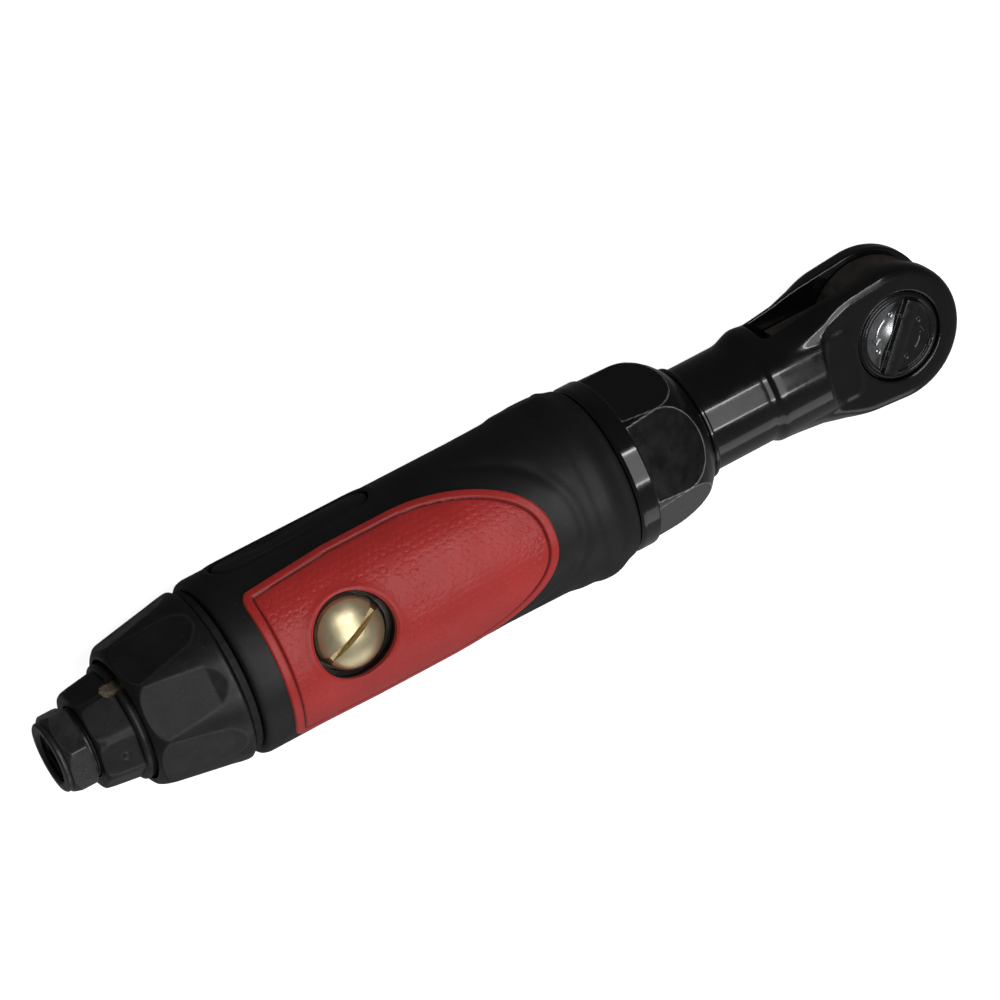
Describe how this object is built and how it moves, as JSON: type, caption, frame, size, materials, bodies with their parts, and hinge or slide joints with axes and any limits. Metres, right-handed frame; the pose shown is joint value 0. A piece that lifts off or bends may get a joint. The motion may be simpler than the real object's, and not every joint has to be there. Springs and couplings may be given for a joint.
{
  "type": "air ratchet",
  "caption": "Pneumatic ratchet wrench with a black moulded handle, red soft grip panel, brass air regulator, clamp nut and forked head with a square drive.",
  "frame": {"origin": "centre of the square drive's end face", "axes": "+X along the tool axis from the air inlet to the head, +Z from the square drive up through the reversing knob, +Y on the throttle lever's side"},
  "size_m": [0.256, 0.0496, 0.0508],
  "materials": {
    "gloss_black": "gloss black enamel",
    "satin_black": "satin black",
    "grip_black": "matte moulded",
    "red_rubber": "soft grained",
    "brass": "turned",
    "bronze": "sintered",
    "steel": "machined",
    "dark_steel": "oil blackened",
    "chrome": "polished",
    "phenolic": "laminate",
    "seal_rubber": "moulded"
  },
  "bodies": {
    "handle": {"inlet_bushing": "satin_black", "inlet_screen": "steel", "inlet_o_ring": "seal_rubber", "exhaust_silencer": "bronze", "rear_collar": "satin_black", "collar_seal": "seal_rubber", "motor_housing": "steel", "grip_housing": "grip_black", "grip_panel": "red_rubber", "lever_pin": "steel", "valve_seat": "brass", "valve_spring": "steel", "motor_cylinder": "dark_steel", "rear_end_plate": "steel", "front_end_plate": "steel", "rear_bearing": "chrome", "front_bearing": "chrome", "ring_gear": "steel", "clamp_nut": "gloss_black", "nut_washer": "steel", "ratchet_housing": "gloss_black", "carrier_bearing": "chrome", "crank_bearing": "steel", "thrust_washer": "steel", "retaining_ring": "steel"},
    "deflector": {"exhaust_deflector": "satin_black"},
    "throttle": {"throttle_lever": "satin_black"},
    "throttle_valve": {"valve_stem": "steel", "valve_ball": "steel"},
    "regulator": {"regulator_screw": "brass", "regulator_o_ring": "seal_rubber"},
    "motor_rotor": {"rotor": "steel", "vane_1": "phenolic", "vane_2": "phenolic", "vane_3": "phenolic", "vane_4": "phenolic", "vane_5": "phenolic"},
    "crank": {"crankshaft": "steel", "planet_pin_1": "steel", "planet_pin_2": "steel", "planet_pin_3": "steel", "drive_bushing": "steel"},
    "planet_1": {"planet_gear_1": "steel"},
    "planet_2": {"planet_gear_2": "steel"},
    "planet_3": {"planet_gear_3": "steel"},
    "yoke": {"ratchet_yoke": "dark_steel"},
    "drive": {"anvil": "chrome", "pawl_pin": "steel", "detent_spring": "steel"},
    "drive_detent": {"detent_ball": "steel"},
    "selector": {"reverse_knob": "satin_black", "selector_plunger": "steel", "selector_spring": "steel"},
    "pawl_rocker": {"pawl": "dark_steel"}
  },
  "joints": [
    {"name": "deflector_swivel", "type": "hinge", "parent": "handle", "child": "deflector", "pos_m": [-0.22, 0, 0.026], "axis": [1, 0, 0], "continuous": true},
    {"name": "lever_press", "type": "hinge", "parent": "handle", "child": "throttle", "pos_m": [-0.145, 0.01995, 0.02176], "axis": [0, 0.2079, 0.9781], "range_deg": [0, 4], "stiffness_Nm_per_rad": 0.6, "springref_deg": -6.88},
    {"name": "valve_slide", "type": "slide", "parent": "handle", "child": "throttle_valve", "axis": [0, -0.9781, 0.2079], "range_m": [0, 0.0019]},
    {"name": "regulator_turn", "type": "hinge", "parent": "handle", "child": "regulator", "pos_m": [-0.1635, 0, 0.026], "axis": [0, 0.2079, 0.9781], "range_deg": [-90, 90]},
    {"name": "rotor_spin", "type": "hinge", "parent": "handle", "child": "motor_rotor", "pos_m": [-0.12, 0, 0.026], "axis": [1, 0, 0], "continuous": true},
    {"name": "crank_spin", "type": "hinge", "parent": "handle", "child": "crank", "pos_m": [-0.08, 0, 0.026], "axis": [1, 0, 0], "continuous": true},
    {"name": "planet_spin_1", "type": "hinge", "parent": "crank", "child": "planet_1", "pos_m": [-0.0956, 0.00187, 0.0348], "axis": [1, 0, 0], "continuous": true},
    {"name": "planet_spin_2", "type": "hinge", "parent": "crank", "child": "planet_2", "pos_m": [-0.0956, 0.00669, 0.01998], "axis": [1, 0, 0], "continuous": true},
    {"name": "planet_spin_3", "type": "hinge", "parent": "crank", "child": "planet_3", "pos_m": [-0.0956, -0.00856, 0.02322], "axis": [1, 0, 0], "continuous": true},
    {"name": "yoke_swing", "type": "hinge", "parent": "handle", "child": "yoke", "pos_m": [0, 0, 0.026], "axis": [0, 0, 1], "range_deg": [-4, 4]},
    {"name": "drive_turn", "type": "hinge", "parent": "handle", "child": "drive", "pos_m": [0, 0, 0.026], "axis": [0, 0, 1], "continuous": true},
    {"name": "detent_slide", "type": "slide", "parent": "drive", "child": "drive_detent", "axis": [-1, 0, 0], "range_m": [0, 0.0006], "stiffness_N_per_m": 400, "springref_m": -0.0008},
    {"name": "selector_turn", "type": "hinge", "parent": "drive", "child": "selector", "pos_m": [0, 0, 0.026], "axis": [0, 0, 1], "range_deg": [-110, 0]},
    {"name": "pawl_rock", "type": "hinge", "parent": "drive", "child": "pawl_rocker", "pos_m": [0.0072, 0, 0.026], "axis": [0, 0, 1], "range_deg": [-8, 0]}
  ],
  "couplings": [
    {"joint": "valve_slide", "follows": "lever_press", "m_per_rad": 0.027},
    {"joint": "crank_spin", "follows": "rotor_spin", "ratio": 0.25},
    {"joint": "planet_spin_1", "follows": "rotor_spin", "ratio": -0.75},
    {"joint": "planet_spin_2", "follows": "rotor_spin", "ratio": -0.75},
    {"joint": "planet_spin_3", "follows": "rotor_spin", "ratio": -0.75},
    {"joint": "pawl_rock", "follows": "selector_turn", "ratio": 0.072727}
  ]
}
